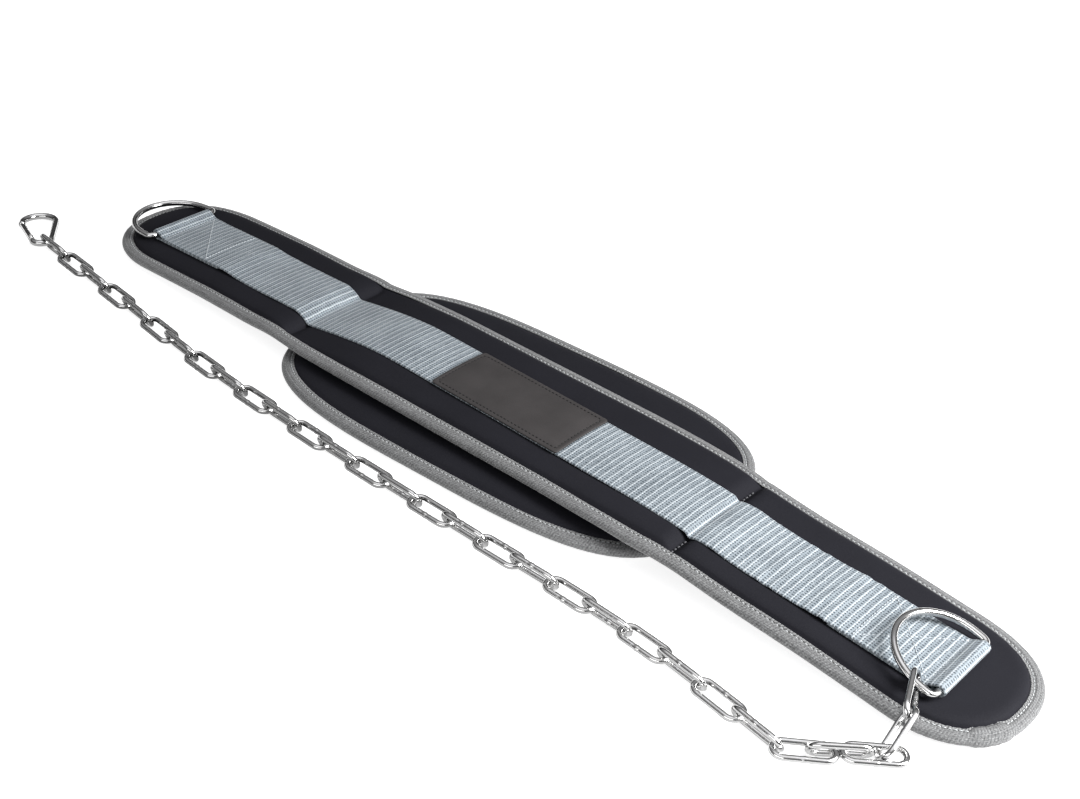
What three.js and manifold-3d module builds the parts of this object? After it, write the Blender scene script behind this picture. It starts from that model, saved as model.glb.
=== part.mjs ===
// A dip belt: a bound foam pad with a webbing strap, two D-rings, a steel chain and a snap hook.
// It lies open with its outer face up. X runs along the belt, Y across it and Z up, in millimetres.
// The origin is on the underside of the back pad, which lies on the floor.
import * as THREE from "three";
import { mergeVertices } from "three/addons/utils/BufferGeometryUtils.js";
import Module from "manifold-3d";

const wasm = await Module();
wasm.setup();

// Driving dimensions
const gap = 0.3; // clearance between pieces that touch on the real belt
const rimGap = 0.8; // clearance of the foam inside its binding
const belt = {
  length: 754,
  wingWidth: 107,
  middleWidth: 114,
  creaseWidth: 108,
  thickness: 10.5,
  edge: 7.5, // thickness where the binding holds the rim
  puff: 8, // how far inside the binding the foam reaches its full thickness
  endRound: 62, // length of the rounded end of each wing
  endPower: 2.3, // 2 is an ellipse, more is squarer
};
const backPad = {
  length: 327,
  width: 183,
  power: 3.5,
  edge: 8.5,
  crown: 5,
  alongBelt: -7.5, // its middle, from the middle of the belt
  acrossBelt: 13,
  turn: 3.75, // degrees
};
const binding = { width: 10, thickness: 1.2 };
const crease = {
  beyondBackPad: 2.5,
  left: { thickness: 2.4, run: 30, innerRun: 85, rim: 5.5 },
  right: { thickness: 6, run: 12, innerRun: 12, rim: 6.5 },
};
const strap = { width: 50, thickness: 1.4, foldBack: 75, barInset: 43, stepRun: 8 };
const label = { length: 108, width: 51, thickness: 1.2, alongBelt: 9 };
const ring = { wire: 4.4, width: 60, corner: 4, shoulder: 8, depth: 41, nearShift: 1, leftDrop: 3 };
const link = { wire: 3.4, length: 36.5, width: 15.4, lean: 65, count: 30 };
const hook = {
  wire: 5,
  length: 53,
  narrow: 13.6, // across the centre line of the wire, at the chain end
  wide: 25,
  gateWire: 4.4,
  pivotAlong: 5, // from the narrow bend to the gate's pin
  cheek: 2.5, // how far tab and fork reach past the pin
  shoulder: 4, // where the full wire starts again, from the pin
  tab: 2,
  pin: 1.8,
  pinPlay: 0.3,
  heading: 149,
};

// Derived sizes
const creaseAt = backPad.length / 2 + crease.beyondBackPad;
const wingLength = belt.length / 2 - creaseAt;
const deck = backPad.edge + backPad.crown + gap; // underside of the belt over the back pad
const barAt = belt.length / 2 - strap.barInset;
const loopRadius = ring.wire / 2 + gap + strap.thickness / 2; // of the strap's centre line
const taut = link.length - 2 * link.wire; // from link to link in a chain pulled tight

// How high the underside of the belt lies, as shares of the deck, from crease to wing tip and
// from the middle to each crease.
const wingFall = {
  left: [
    { along: 0, lift: 0.76 },
    { along: 0.05, lift: 0.73 },
    { along: 0.16, lift: 0.52 },
    { along: 0.4, lift: 0.42 },
    { along: 0.63, lift: 0.2 },
    { along: 0.8, lift: 0.03 },
    { along: 1, lift: 0 },
  ],
  right: [
    { along: 0, lift: 0.9 },
    { along: 0.08, lift: 0.75 },
    { along: 0.2, lift: 0.58 },
    { along: 0.4, lift: 0.42 },
    { along: 0.63, lift: 0.2 },
    { along: 0.8, lift: 0.03 },
    { along: 1, lift: 0 },
  ],
};
const middleFall = {
  left: [
    { along: 0, lift: 1 },
    { along: 0.55, lift: 1 },
    { along: 1, lift: 0.76 },
  ],
  right: [
    { along: 0, lift: 1 },
    { along: 0.75, lift: 1 },
    { along: 1, lift: 0.9 },
  ],
};
// Width of the belt from crease to crease, as shares of the way from the crease width to the
// middle width, and from crease to wing as shares of the way to the wing width.
const middleSwell = [
  { along: 0, share: 1 },
  { along: 0.6, share: 1 },
  { along: 0.85, share: 0.75 },
  { along: 1, share: 0 },
];

// How far across the belt lies off the strap's middle line, from its left tip to its right one.
const beltSway = [
  { along: -1, sway: 3 },
  { along: -0.55, sway: 3 },
  { along: -0.42, sway: 1.5 },
  { along: -0.25, sway: 0.5 },
  { along: 0, sway: 3 },
  { along: 0.2, sway: 5 },
  { along: 0.7, sway: 5 },
  { along: 0.85, sway: 3.5 },
  { along: 1, sway: 3 },
];

// Where the chain runs on the floor, from the snap hook to its last turn: plain chosen points,
// from the near end of the right ring's bar.
const chainRoute = [
  [-711.5, -52.5],
  [-624, -60],
  [-514, -70],
  [-404, -72.5],
  [-274, -70.5],
  [-184, -68.5],
  [-129, -70],
  [-83, -75],
  [-49, -79.5],
];
// How much less than taut each link on the floor follows the one before it, from the hook.
const chainSlack = [
  { along: 0, slack: 1.55 },
  { along: 0.22, slack: 1.6 },
  { along: 0.36, slack: 2.8 },
  { along: 0.8, slack: 2.8 },
  { along: 0.85, slack: 2.2 },
  { along: 1, slack: 2.2 },
];
// The last links turn towards the belt and climb over its edge to the ring. Each row has the middle
// of a link, then its heading, slope and roll in degrees.
const lastLinks = [
  { x: -31, y: -73, z: 5.9, heading: 38, slope: 0, roll: 0 },
  { x: -17.2, y: -60.6, z: 7.75, heading: 41, slope: 0, roll: -65 },
  { x: -3.2, y: -49.8, z: 6.95, heading: 39, slope: 0, roll: 0 },
  { x: -1, y: -33.2, z: 11.6, heading: 94, slope: 20.5, roll: -52 },
  { x: -7.3, y: -10, z: 18.15, heading: 113, slope: 5, roll: 70 },
];

// Materials
const fabric = (color, roughness) => new THREE.MeshStandardMaterial({ color, roughness });
const neoprene = fabric(0x24242a, 0.85);
const greyTape = fabric(0x73787b, 0.8);
const webbing = fabric(0x9aa6ad, 0.7);
const leatherette = fabric(0x46413f, 0.6);
const steel = new THREE.MeshStandardMaterial({
  color: 0xd0d3d6,
  roughness: 0.25,
  metalness: 1,
});

const assembly = new THREE.Group();

function addPiece(name, geometry, material, parent = assembly) {
  const mesh = new THREE.Mesh(geometry, material);
  mesh.name = name;
  parent.add(mesh);
  return mesh;
}

// Value of a table's column between its rows.
function between(table, along, column) {
  const last = table[table.length - 1];
  if (along >= last.along) return last[column];
  const next = table.findIndex((row) => row.along > along);
  const [a, b] = [table[next - 1], table[next]];
  return THREE.MathUtils.mapLinear(along, a.along, b.along, a[column], b[column]);
}

// A closed body from corner points and triangles, turned so that its faces point out.
function closedBody(points, triangles) {
  const volume = triangles.reduce((sum, [a, b, c]) => {
    const cross = new THREE.Vector3().crossVectors(points[b], points[c]);
    return sum + points[a].dot(cross);
  }, 0);
  const order = volume < 0 ? triangles.map(([a, b, c]) => [a, c, b]) : triangles;
  const geometry = new THREE.BufferGeometry().setFromPoints(points);
  geometry.setIndex(order.flat());
  geometry.computeVertexNormals();
  return geometry;
}

// Rows of points joined into a skin. A row of two points closes a longer one with a fan.
function joinRows(rows, triangles) {
  for (let r = 0; r + 1 < rows.length; r++) {
    const [a, b] = [rows[r], rows[r + 1]];
    if (a.length === b.length) {
      for (let c = 0; c + 1 < a.length; c++) {
        triangles.push([a[c], b[c], b[c + 1]], [a[c], b[c + 1], a[c + 1]]);
      }
    } else {
      const rim = a.length < b.length ? [...b, a[1]] : [...a].reverse().concat(b[0]);
      const hub = a.length < b.length ? a[0] : b[1];
      for (let c = 0; c + 1 < rim.length; c++) triangles.push([hub, rim[c], rim[c + 1]]);
    }
  }
}

// Stations round a closed outline, each with its inward normal, which lies straight across on the
// long sides. Station k faces station n-1-k.
function outlineStations(halfOutline, longSides = 0) {
  const near = halfOutline.map(([x, half]) => [x, -half]);
  const far = halfOutline.map(([x, half]) => [x, half]).reverse();
  const loop = [...near, ...far];
  return loop.map(([x, y], k) => {
    if (Math.abs(x) < longSides) return { x, y, nx: 0, ny: -Math.sign(y) };
    const [px, py] = loop[(k + loop.length - 1) % loop.length];
    const [qx, qy] = loop[(k + 1) % loop.length];
    const before = new THREE.Vector2(x - px, y - py).normalize();
    const along = new THREE.Vector2(qx - x, qy - y).normalize().add(before);
    const mitre = along.lengthSq() / 2; // keeps the offset lines parallel through a corner
    return { x, y, nx: -along.y / mitre, ny: along.x / mitre };
  });
}

function stationPoint(station, inset, z) {
  return new THREE.Vector3(station.x + station.nx * inset, station.y + station.ny * inset, z);
}

// A foam pad: the rim section runs round the outline, and rows across it close top and bottom.
function padBody(stations, rimSection, columns, topHeight) {
  const points = [];
  const triangles = [];
  const rings = stations.map((station) =>
    rimSection(station).map(([inset, z]) => points.push(stationPoint(station, inset, z)) - 1),
  );
  joinRows([...rings, rings[0]], triangles);
  const rowsOf = (pick) =>
    rings.slice(0, rings.length / 2).map((ringNear, k) => {
      const ends = [pick(ringNear), pick(rings[rings.length - 1 - k])];
      if (k === 0 || k === rings.length / 2 - 1) return ends;
      const inner = [];
      for (let c = 1; c < columns; c++) {
        const p = points[ends[0]].clone().lerp(points[ends[1]], c / columns);
        if (pick(ringNear) === ringNear[0]) p.z = topHeight(p.x, p.y);
        inner.push(points.push(p) - 1);
      }
      return [ends[0], ...inner, ends[1]];
    });
  const top = rowsOf((ids) => ids[0]);
  const bottom = rowsOf((ids) => ids[ids.length - 1]);
  joinRows(top, triangles);
  const underside = [];
  joinRows(bottom, underside);
  underside.forEach(([a, b, c]) => triangles.push([a, c, b]));
  orient(triangles);
  return closedBody(points, triangles);
}

// Turns triangles so that each shared edge is walked once each way.
function orient(triangles) {
  const key = (a, b) => a + "," + b;
  const owners = new Map();
  triangles.forEach((t, i) =>
    t.forEach((a, j) => {
      const b = t[(j + 1) % 3];
      const k = a < b ? key(a, b) : key(b, a);
      owners.set(k, [...(owners.get(k) ?? []), i]);
    }),
  );
  const walks = (t, a, b) => t.some((p, j) => p === a && t[(j + 1) % 3] === b);
  const done = new Set([0]);
  const queue = [0];
  while (queue.length) {
    const t = triangles[queue.pop()];
    t.forEach((a, j) => {
      const b = t[(j + 1) % 3];
      for (const i of owners.get(a < b ? key(a, b) : key(b, a))) {
        if (done.has(i)) continue;
        if (walks(triangles[i], a, b)) triangles[i].reverse();
        done.add(i);
        queue.push(i);
      }
    });
  }
}

// Binding tape folded over a pad's rim: its U section runs round the outline.
function bindingBody(stations, rimHeights) {
  const { width, thickness } = binding;
  const points = [];
  const rings = stations.map((station) => {
    const { low, high } = rimHeights(station);
    const middle = (low + high) / 2;
    const nose = (high - low) * 0.3;
    const section = [
      [width, high],
      [4, high],
      [0.9, middle + nose],
      [0, middle],
      [0.9, middle - nose],
      [4, low],
      [width, low],
      [width, low + thickness],
      [3.7, low + thickness],
      [thickness, middle],
      [3.7, high - thickness],
      [width, high - thickness],
    ];
    return section.map(([inset, z]) => points.push(stationPoint(station, inset, z)) - 1);
  });
  const triangles = [];
  joinRows([...rings, rings[0]].map((ids) => [...ids, ids[0]]), triangles);
  return closedBody(points, triangles);
}

// The rim of the foam inside the binding, from the top of the pad round to its underside.
function foamRim({ low, high }, full, puff) {
  const wall = binding.thickness + rimGap;
  const step = binding.width + gap;
  return [
    [step + puff, full],
    [step, high],
    [step, high - wall],
    [4, high - wall],
    [wall, (low + high) / 2],
    [4, low + wall],
    [step, low + wall],
    [step, low],
  ];
}

// Belt pad and its binding
const sideOf = (x) => (x < 0 ? "left" : "right");

function beltUnderside(x) {
  const along = Math.abs(x);
  const share =
    along > creaseAt
      ? between(wingFall[sideOf(x)], (along - creaseAt) / wingLength, "lift")
      : between(middleFall[sideOf(x)], along / creaseAt, "lift");
  return share * deck;
}

// Thickness that swells from its pinched value at a crease to its full one, rounded.
function fromCrease(x, pinched, full) {
  const { run, innerRun } = crease[sideOf(x)];
  const beyond = Math.abs(x) - creaseAt;
  const reach = Math.min(1, beyond > 0 ? beyond / run : -beyond / innerRun);
  const swell = beyond > 0 ? Math.sqrt(1 - (1 - reach) ** 2) : Math.sin((reach * Math.PI) / 2);
  return pinched + (full - pinched) * swell;
}

const beltThickness = (x) => fromCrease(x, crease[sideOf(x)].thickness, belt.thickness);
const beltTop = (x) => beltUnderside(x) + beltThickness(x);

function beltRim({ x }) {
  const low = beltUnderside(x);
  return { low, high: low + fromCrease(x, crease[sideOf(x)].rim, belt.edge) };
}

function beltHalfWidth(x) {
  const along = Math.abs(x);
  if (along > creaseAt) {
    const reach = Math.min(1, (along - creaseAt) / crease[sideOf(x)].run);
    return THREE.MathUtils.lerp(belt.creaseWidth, belt.wingWidth, reach) / 2;
  }
  const share = between(middleSwell, along / creaseAt, "share");
  return THREE.MathUtils.lerp(belt.creaseWidth, belt.middleWidth, share) / 2;
}

// Places along the belt where its sections lie: closer together beside the creases.
function beltPlaces() {
  const straightEnd = belt.length / 2 - belt.endRound;
  const half = (side) => {
    const { run, innerRun } = crease[side];
    const middle = [0.25, 0.5, 0.75, 1].map((s) => s * (creaseAt - innerRun));
    const pinch = [
      ...[-0.55, -0.2].map((s) => creaseAt + s * innerRun),
      ...[0, 0.2, 0.55, 1].map((s) => creaseAt + s * run),
    ];
    const wing = [0.2, 0.4, 0.6, 0.8, 1].map((s) =>
      THREE.MathUtils.lerp(creaseAt + run, straightEnd, s),
    );
    return [...middle, ...pinch, ...wing];
  };
  return [...half("left").map((x) => -x).reverse(), 0, ...half("right")];
}

function beltOutline() {
  const straightEnd = belt.length / 2 - belt.endRound;
  const steps = 5;
  const cap = [];
  for (let k = 1; k <= steps; k++) {
    const angle = ((steps + 0.6 - k) / (steps + 0.6)) * (Math.PI / 2);
    const along = Math.cos(angle) ** (2 / belt.endPower);
    const across = Math.sin(angle) ** (2 / belt.endPower);
    cap.push([straightEnd + along * belt.endRound, across * (belt.wingWidth / 2)]);
  }
  const body = beltPlaces().map((x) => [x, beltHalfWidth(x)]);
  return [...cap.map(([x, half]) => [-x, half]).reverse(), ...body, ...cap];
}

// Shifts a body of the belt across it, as the belt lies to the strap's straight middle line.
function swayed(geometry) {
  const position = geometry.getAttribute("position");
  for (let k = 0; k < position.count; k++) {
    const along = Math.max(-1, position.getX(k) / (belt.length / 2));
    position.setY(k, position.getY(k) + between(beltSway, along, "sway"));
  }
  geometry.computeVertexNormals();
  return geometry;
}

function addBeltPad() {
  const stations = outlineStations(beltOutline(), belt.length / 2 - belt.endRound);
  const foam = (station) => foamRim(beltRim(station), beltTop(station.x), belt.puff);
  addPiece("belt_pad", swayed(padBody(stations, foam, 1, beltTop)), neoprene);
  addPiece("belt_binding", swayed(bindingBody(stations, beltRim)), greyTape);
}

// Back pad and its binding
function addBackPad() {
  const steps = 24;
  const half = [];
  for (let k = 0; k < steps; k++) {
    const angle = Math.PI * (1 - (k + 0.5) / steps);
    const shape = (value, size) =>
      (Math.sign(value) * Math.abs(value) ** (2 / backPad.power) * size) / 2;
    half.push([shape(Math.cos(angle), backPad.length), shape(Math.sin(angle), backPad.width)]);
  }
  const rim = { low: 0, high: backPad.edge };
  const inner = binding.width + gap;
  const topHeight = (x, y) => {
    const spread = [
      Math.abs(x) / (backPad.length / 2 - inner),
      Math.abs(y) / (backPad.width / 2 - inner),
    ];
    const out = spread.reduce((sum, s) => sum + s ** backPad.power, 0) ** (1 / backPad.power);
    return rim.high + backPad.crown * Math.max(0, 1 - out ** 3);
  };
  const foam = (station) => {
    const start = stationPoint(station, inner + belt.puff, 0);
    return foamRim(rim, topHeight(start.x, start.y), belt.puff);
  };
  const stations = outlineStations(half);
  const place = new THREE.Group();
  place.position.set(backPad.alongBelt, backPad.acrossBelt, 0);
  place.rotation.z = THREE.MathUtils.degToRad(backPad.turn);
  assembly.add(place);
  addPiece("back_pad", padBody(stations, foam, 5, topHeight), neoprene, place);
  addPiece("back_binding", bindingBody(stations, () => rim), greyTape, place);
}

// A flat band of even width that follows a path of [x, z] points. Where it lies on the pad its
// thickness is taken upright, and in a free bend across the bend.
function bandBody(path, width, thickness) {
  const points = [];
  const rings = path.map(([x, z, bent], k) => {
    const [px, pz] = path[Math.max(0, k - 1)];
    const [qx, qz] = path[Math.min(path.length - 1, k + 1)];
    const before = new THREE.Vector2(x - px, z - pz).normalize();
    const after = new THREE.Vector2(qx - x, qz - z).normalize();
    const along = bent ? before.add(after).normalize() : new THREE.Vector2(Math.sign(qx - px), 0);
    const corner = (side, y) => {
      const out = (side * thickness) / 2;
      return points.push(new THREE.Vector3(x - along.y * out, y, z + along.x * out)) - 1;
    };
    return [
      corner(1, -width / 2),
      corner(1, width / 2),
      corner(-1, width / 2),
      corner(-1, -width / 2),
    ];
  });
  const triangles = [];
  joinRows(rings.map((ids) => [...ids, ids[0]]), triangles);
  const [first, last] = [rings[0], rings[rings.length - 1]];
  triangles.push([first[0], first[1], first[2]], [first[0], first[2], first[3]]);
  triangles.push([last[0], last[2], last[1]], [last[0], last[3], last[2]]);
  return closedBody(points, triangles);
}

// Height of the strap's centre line. Near the rings its folded end lies under it.
const foldStart = barAt - strap.foldBack;
const landing = barAt - strap.stepRun; // where the strap comes down from its loop
function strapHeight(x) {
  const base = beltTop(x) + gap + strap.thickness / 2;
  const doubled = THREE.MathUtils.clamp((Math.abs(x) - foldStart) / strap.stepRun + 1, 0, 1);
  return base + doubled * (strap.thickness + gap);
}

function barHeight(side) {
  return beltTop(side * barAt) + gap + strap.thickness / 2 + loopRadius;
}

// One end of the strap, from its cut end under the strap, round the ring's bar, to its top run.
function strapEnd(side, places) {
  const bar = barHeight(side);
  const under = places
    .filter((x) => x > foldStart + strap.stepRun && x < landing)
    .map((x) => [side * x, beltTop(side * x) + gap + strap.thickness / 2]);
  const start = foldStart + strap.stepRun / 2;
  const cut = [side * start, beltTop(side * start) + gap + strap.thickness / 2];
  const loop = [];
  for (let degrees = -90; degrees <= 120; degrees += 30) {
    const angle = THREE.MathUtils.degToRad(degrees);
    loop.push([
      side * (barAt + Math.cos(angle) * loopRadius),
      bar + Math.sin(angle) * loopRadius,
      true,
    ]);
  }
  return [cut, ...under, ...loop, [side * landing, strapHeight(side * landing)]];
}

function addStrap() {
  const places = [...new Set(beltOutline().map(([x]) => Math.abs(x)))].sort((a, b) => a - b);
  const foldEdges = [foldStart - strap.stepRun, foldStart];
  const run = [...beltPlaces(), ...foldEdges, ...foldEdges.map((x) => -x)]
    .filter((x) => Math.abs(x) < landing - 1)
    .sort((a, b) => a - b)
    .map((x) => [x, strapHeight(x)]);
  const path = [...strapEnd(-1, places), ...run, ...strapEnd(1, places).reverse()];
  addPiece("strap", bandBody(path, strap.width, strap.thickness), webbing);
}

function addLabel() {
  const ends = [-1, 1].map((side) => label.alongBelt + (side * label.length) / 2);
  const inside = beltPlaces().filter((x) => x > ends[0] && x < ends[1]);
  const lift = (strap.thickness + label.thickness) / 2 + gap;
  const path = [ends[0], ...inside, ends[1]].map((x) => [x, strapHeight(x) + lift]);
  addPiece("label_patch", bandBody(path, label.width, label.thickness), leatherette);
}

// A round wire bent in a plane along [x, y] points.
function wireBody(path, diameter, sides, closed) {
  const points = [];
  const count = path.length;
  const rings = path.map(([x, y], k) => {
    const [px, py] = closed ? path[(k + count - 1) % count] : path[Math.max(0, k - 1)];
    const [qx, qy] = closed ? path[(k + 1) % count] : path[Math.min(count - 1, k + 1)];
    const before = new THREE.Vector2(x - px, y - py).normalize();
    const after = new THREE.Vector2(qx - x, qy - y).normalize();
    const along = before.add(after).normalize();
    const ids = [];
    for (let s = 0; s < sides; s++) {
      const angle = (2 * Math.PI * (s + 0.5)) / sides;
      const out = (Math.cos(angle) * diameter) / 2;
      const up = (Math.sin(angle) * diameter) / 2;
      ids.push(points.push(new THREE.Vector3(x - along.y * out, y + along.x * out, up)) - 1);
    }
    return ids;
  });
  const triangles = [];
  const skin = closed ? [...rings, rings[0]] : rings;
  joinRows(skin.map((ids) => [...ids, ids[0]]), triangles);
  if (!closed) {
    const [first, last] = [rings[0], rings[count - 1]];
    for (let s = 1; s + 1 < sides; s++) {
      triangles.push([first[0], first[s], first[s + 1]], [last[0], last[s + 1], last[s]]);
    }
  }
  return closedBody(points, triangles);
}

// Points of an arc, angles in degrees.
function arc(cx, cy, rx, ry, from, to, steps) {
  const points = [];
  for (let k = 0; k <= steps; k++) {
    const angle = THREE.MathUtils.degToRad(THREE.MathUtils.lerp(from, to, k / steps));
    points.push([cx + rx * Math.cos(angle), cy + ry * Math.sin(angle)]);
  }
  return points;
}

// D-rings: x is the way out from the bar, y runs along the bar.
function ringPath() {
  const { width, corner, shoulder, depth } = ring;
  const half = width / 2;
  return [
    ...arc(corner, -half + corner, corner, corner, -180, -90, 2).reverse(),
    ...arc(corner, half - corner, corner, corner, 180, 90, 2),
    ...arc(shoulder, 0, depth - shoulder, half, 90, -90, 12),
  ];
}

// The left ring lies on the wing's end; the right one is folded back and leans on its link.
const rightRingTilt = 14.5;

function addRing(name, side, heading, tilt, shift) {
  const place = new THREE.Group();
  place.position.set(side * barAt, shift, barHeight(side));
  place.rotation.set(0, THREE.MathUtils.degToRad(-tilt), THREE.MathUtils.degToRad(heading), "ZYX");
  assembly.add(place);
  addPiece(name, wireBody(ringPath(), ring.wire, 6, true), steel, place);
}

// Chain
const chain = new THREE.Group();
chain.position.set(barAt, -ring.width / 2 - ring.nearShift, 0);
assembly.add(chain);

function linkPath() {
  const half = (link.width - link.wire) / 2;
  const reach = link.length / 2 - link.width / 2;
  return [...arc(reach, 0, half, half, -90, 90, 5), ...arc(-reach, 0, half, half, 90, 270, 5)];
}

function addLink(index, { x, y, z, heading, slope, roll }) {
  const name = "link_" + String(index).padStart(2, "0");
  const mesh = addPiece(name, wireBody(linkPath(), link.wire, 5, true), steel, chain);
  const turn = [roll, -slope, heading].map(THREE.MathUtils.degToRad);
  mesh.position.set(x, y, z);
  mesh.rotation.set(...turn, "ZYX");
}

// Odd links lean on their lower side, and the flat even links rest on them.
const halfAcross = (link.width - link.wire) / 2;
const leanHeight = link.wire / 2 + halfAcross * Math.sin(THREE.MathUtils.degToRad(link.lean));
const flatHeight = 1.5 * link.wire + 3 * gap;

function addChain() {
  const route = chainRoute.map(([x, y]) => new THREE.Vector3(x, y, 0));
  const curve = new THREE.CatmullRomCurve3(route, false, "centripetal");
  const length = curve.getLength();
  const floorLinks = link.count - lastLinks.length;
  let walked = 0;
  for (let k = 0; k < floorLinks; k++) {
    if (k > 0) walked += taut - between(chainSlack, k / (floorLinks - 1), "slack");
    const { x, y } = curve.getPointAt(walked / length);
    const along = curve.getTangentAt(walked / length);
    const heading = THREE.MathUtils.radToDeg(Math.atan2(along.y, along.x));
    const leaning = k % 2 === 0;
    const z = leaning ? leanHeight : flatHeight;
    addLink(k + 1, { x, y, z, heading, slope: 0, roll: leaning ? -link.lean : 0 });
  }
  lastLinks.forEach((place, k) => addLink(floorLinks + 1 + k, place));
}

// Snap hook: x is the way from its narrow end to its wide end, y points to the gate.
function asSolid(geometry) {
  const bare = mergeVertices(geometry.clone().deleteAttribute("normal"));
  const vertProperties = bare.attributes.position.array;
  const triVerts = new Uint32Array(bare.index.array);
  return new wasm.Manifold(new wasm.Mesh({ numProp: 3, vertProperties, triVerts }));
}

function asGeometry(solid) {
  const mesh = solid.getMesh();
  const geometry = new THREE.BufferGeometry();
  geometry.setAttribute("position", new THREE.BufferAttribute(mesh.vertProperties, 3));
  geometry.setIndex(new THREE.BufferAttribute(mesh.triVerts, 1));
  return geometry;
}

function boxAt(sx, sy, sz, x, y, z, turn) {
  const box = new THREE.BoxGeometry(sx, sy, sz);
  box.deleteAttribute("uv");
  box.translate(x, y, z);
  box.rotateZ(turn);
  return box;
}

function pinBody(diameter, height, sides) {
  const body = new THREE.CylinderGeometry(diameter / 2, diameter / 2, height, sides);
  body.deleteAttribute("uv");
  body.rotateX(Math.PI / 2);
  return body;
}

function addHook() {
  const { wire, length, narrow, wide, gateWire, pivotAlong, cheek, shoulder, tab } = hook;
  const [rn, rw] = [narrow / 2, wide / 2];
  const [cn, cw] = [rn, length - rw];
  const flare = Math.asin((rw - rn) / (cw - cn));
  const degrees = THREE.MathUtils.radToDeg(flare);
  const sideAt = (along) => [
    cn - rn * Math.sin(flare) + along * Math.cos(flare),
    rn * Math.cos(flare) + along * Math.sin(flare),
  ];
  const sideLength = (cw - cn) * Math.cos(flare);
  const bodyPath = [
    sideAt(pivotAlong + cheek),
    sideAt(pivotAlong - shoulder),
    ...arc(cn, 0, rn, rn, 90 + degrees, 270 - degrees, 7),
    ...arc(cw, 0, rw, rw, -90 - degrees, 90 + degrees, 10),
  ];
  const pivot = sideAt(pivotAlong);
  const gateEnd = sideAt(sideLength - 3 * gap);
  const gateStart = sideAt(pivotAlong - cheek);
  const clear = 2 * wire;
  const level = tab / 2 + clear / 2;
  const place = (geometry) => geometry.translate(pivot[0], pivot[1], 0);
  const slab = (z, from, to, height) =>
    asSolid(place(boxAt(to - from, clear, height, (from + to) / 2, 0, z, flare)));
  const hole = asSolid(place(pinBody(hook.pin + 2 * hook.pinPlay, clear, 12)));
  const body = asSolid(wireBody(bodyPath, wire, 8, false))
    .subtract(slab(level, -shoulder, clear, clear))
    .subtract(slab(-level, -shoulder, clear, clear))
    .subtract(hole);
  const gate = asSolid(wireBody([gateStart, pivot, gateEnd], gateWire, 8, false))
    .subtract(slab(0, -clear, shoulder, tab + 2 * gap))
    .subtract(hole);

  const group = new THREE.Group();
  const rise = link.wire + wire / 2 + gap + link.wire * 0.4; // where the hook passes the first link
  const slope = Math.asin((rise - wire / 2) / length);
  const heading = THREE.MathUtils.degToRad(hook.heading);
  const [linkX, linkY] = chainRoute[0];
  const inLink = link.length / 2 - link.wire - wire / 2 - 6 * gap;
  const bendX = linkX - inLink - rn;
  group.position.set(bendX - rn * Math.cos(heading), linkY - rn * Math.sin(heading), rise);
  group.rotation.set(0, slope, heading, "ZYX");
  chain.add(group);
  addPiece("hook_body", asGeometry(body), steel, group);
  addPiece("hook_gate", asGeometry(gate), steel, group);
  const pin = addPiece("hook_pin", pinBody(hook.pin, gateWire + 2 * gap, 12), steel, group);
  pin.position.set(pivot[0], pivot[1], 0);
}

addBackPad();
addBeltPad();
addStrap();
addLabel();
addRing("ring_left", -1, 180, -ring.leftDrop, 0);
addRing("ring_right", 1, 180, rightRingTilt, -ring.nearShift);
addChain();
addHook();

export default assembly;
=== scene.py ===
"""The looks of a dip belt: bound foam pads, ribbed webbing, a leatherette patch and bright steel.

The frame and everything here share one set of axes: X along the belt, Y across it and Z up.
Sizes and places are in millimetres, and finished turns them into metres.
"""
import math
import random

import bmesh
import bpy
import numpy as np
from mathutils import Matrix, Vector


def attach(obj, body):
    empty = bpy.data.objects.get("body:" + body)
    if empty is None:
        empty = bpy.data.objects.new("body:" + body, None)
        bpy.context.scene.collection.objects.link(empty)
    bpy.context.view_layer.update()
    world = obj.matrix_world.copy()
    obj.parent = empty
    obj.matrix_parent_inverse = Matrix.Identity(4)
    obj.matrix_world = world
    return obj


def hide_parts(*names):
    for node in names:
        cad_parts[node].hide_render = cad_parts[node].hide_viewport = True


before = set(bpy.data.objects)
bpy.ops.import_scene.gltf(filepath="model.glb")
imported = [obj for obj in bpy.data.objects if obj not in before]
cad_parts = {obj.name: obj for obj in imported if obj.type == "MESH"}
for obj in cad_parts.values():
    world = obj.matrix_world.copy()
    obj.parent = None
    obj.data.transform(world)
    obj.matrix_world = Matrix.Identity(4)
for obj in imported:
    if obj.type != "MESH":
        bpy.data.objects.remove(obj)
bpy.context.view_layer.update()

MM = 0.001


# Driving dimensions
GAP = 0.3
BELT = dict(length=754, wing_width=107, middle_width=114, crease_width=108, thickness=10.5,
            edge=6.4, rim_lift=0.5, puff=8, end_round=62, end_power=2.3)
BACK_PAD = dict(length=327, width=183, power=3.5, edge=8.5, rim=6.8, crown=5, along=-7.5,
                across=13, turn=3.75)
FOAM = dict(inset=2.0, wall_gap=0.5, lip_run=3, lanes=61, bunching=0.35, cover_start=0.3, cover_run=1.2,
            top_gap=0.2, bottom_gap=0.05, swell=0.25, swell_size=90, swell_seed=3)
TAPE = dict(width=8.4, thickness=1.0, swell=0.25, swell_size=70, swell_seed=5)
TAPE_STITCH = dict(pitch=3.3, inset=6.5, level=0.92, length=2.3, width=0.62)
STRAP = dict(width=50, thickness=1.4, fold_back=75, bar_inset=43, step_run=8, taper=20, rib_pitch=4.6,
             rib_height=0.12, rib_floor=0.3, crown=0.9, selvedge_wave=0.22, selvedge_pitch=1.36)
LABEL = dict(length=108, width=51, thickness=1.2, along=9, stitch_inset=3.2)
RING = dict(wire=4.4, width=60, corner=4, shoulder=8, depth=41)
RINGS = {-1: dict(node="ring_left", tilt=-3, shift=0),
         1: dict(node="ring_right", tilt=14.5, shift=-1)}
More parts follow.
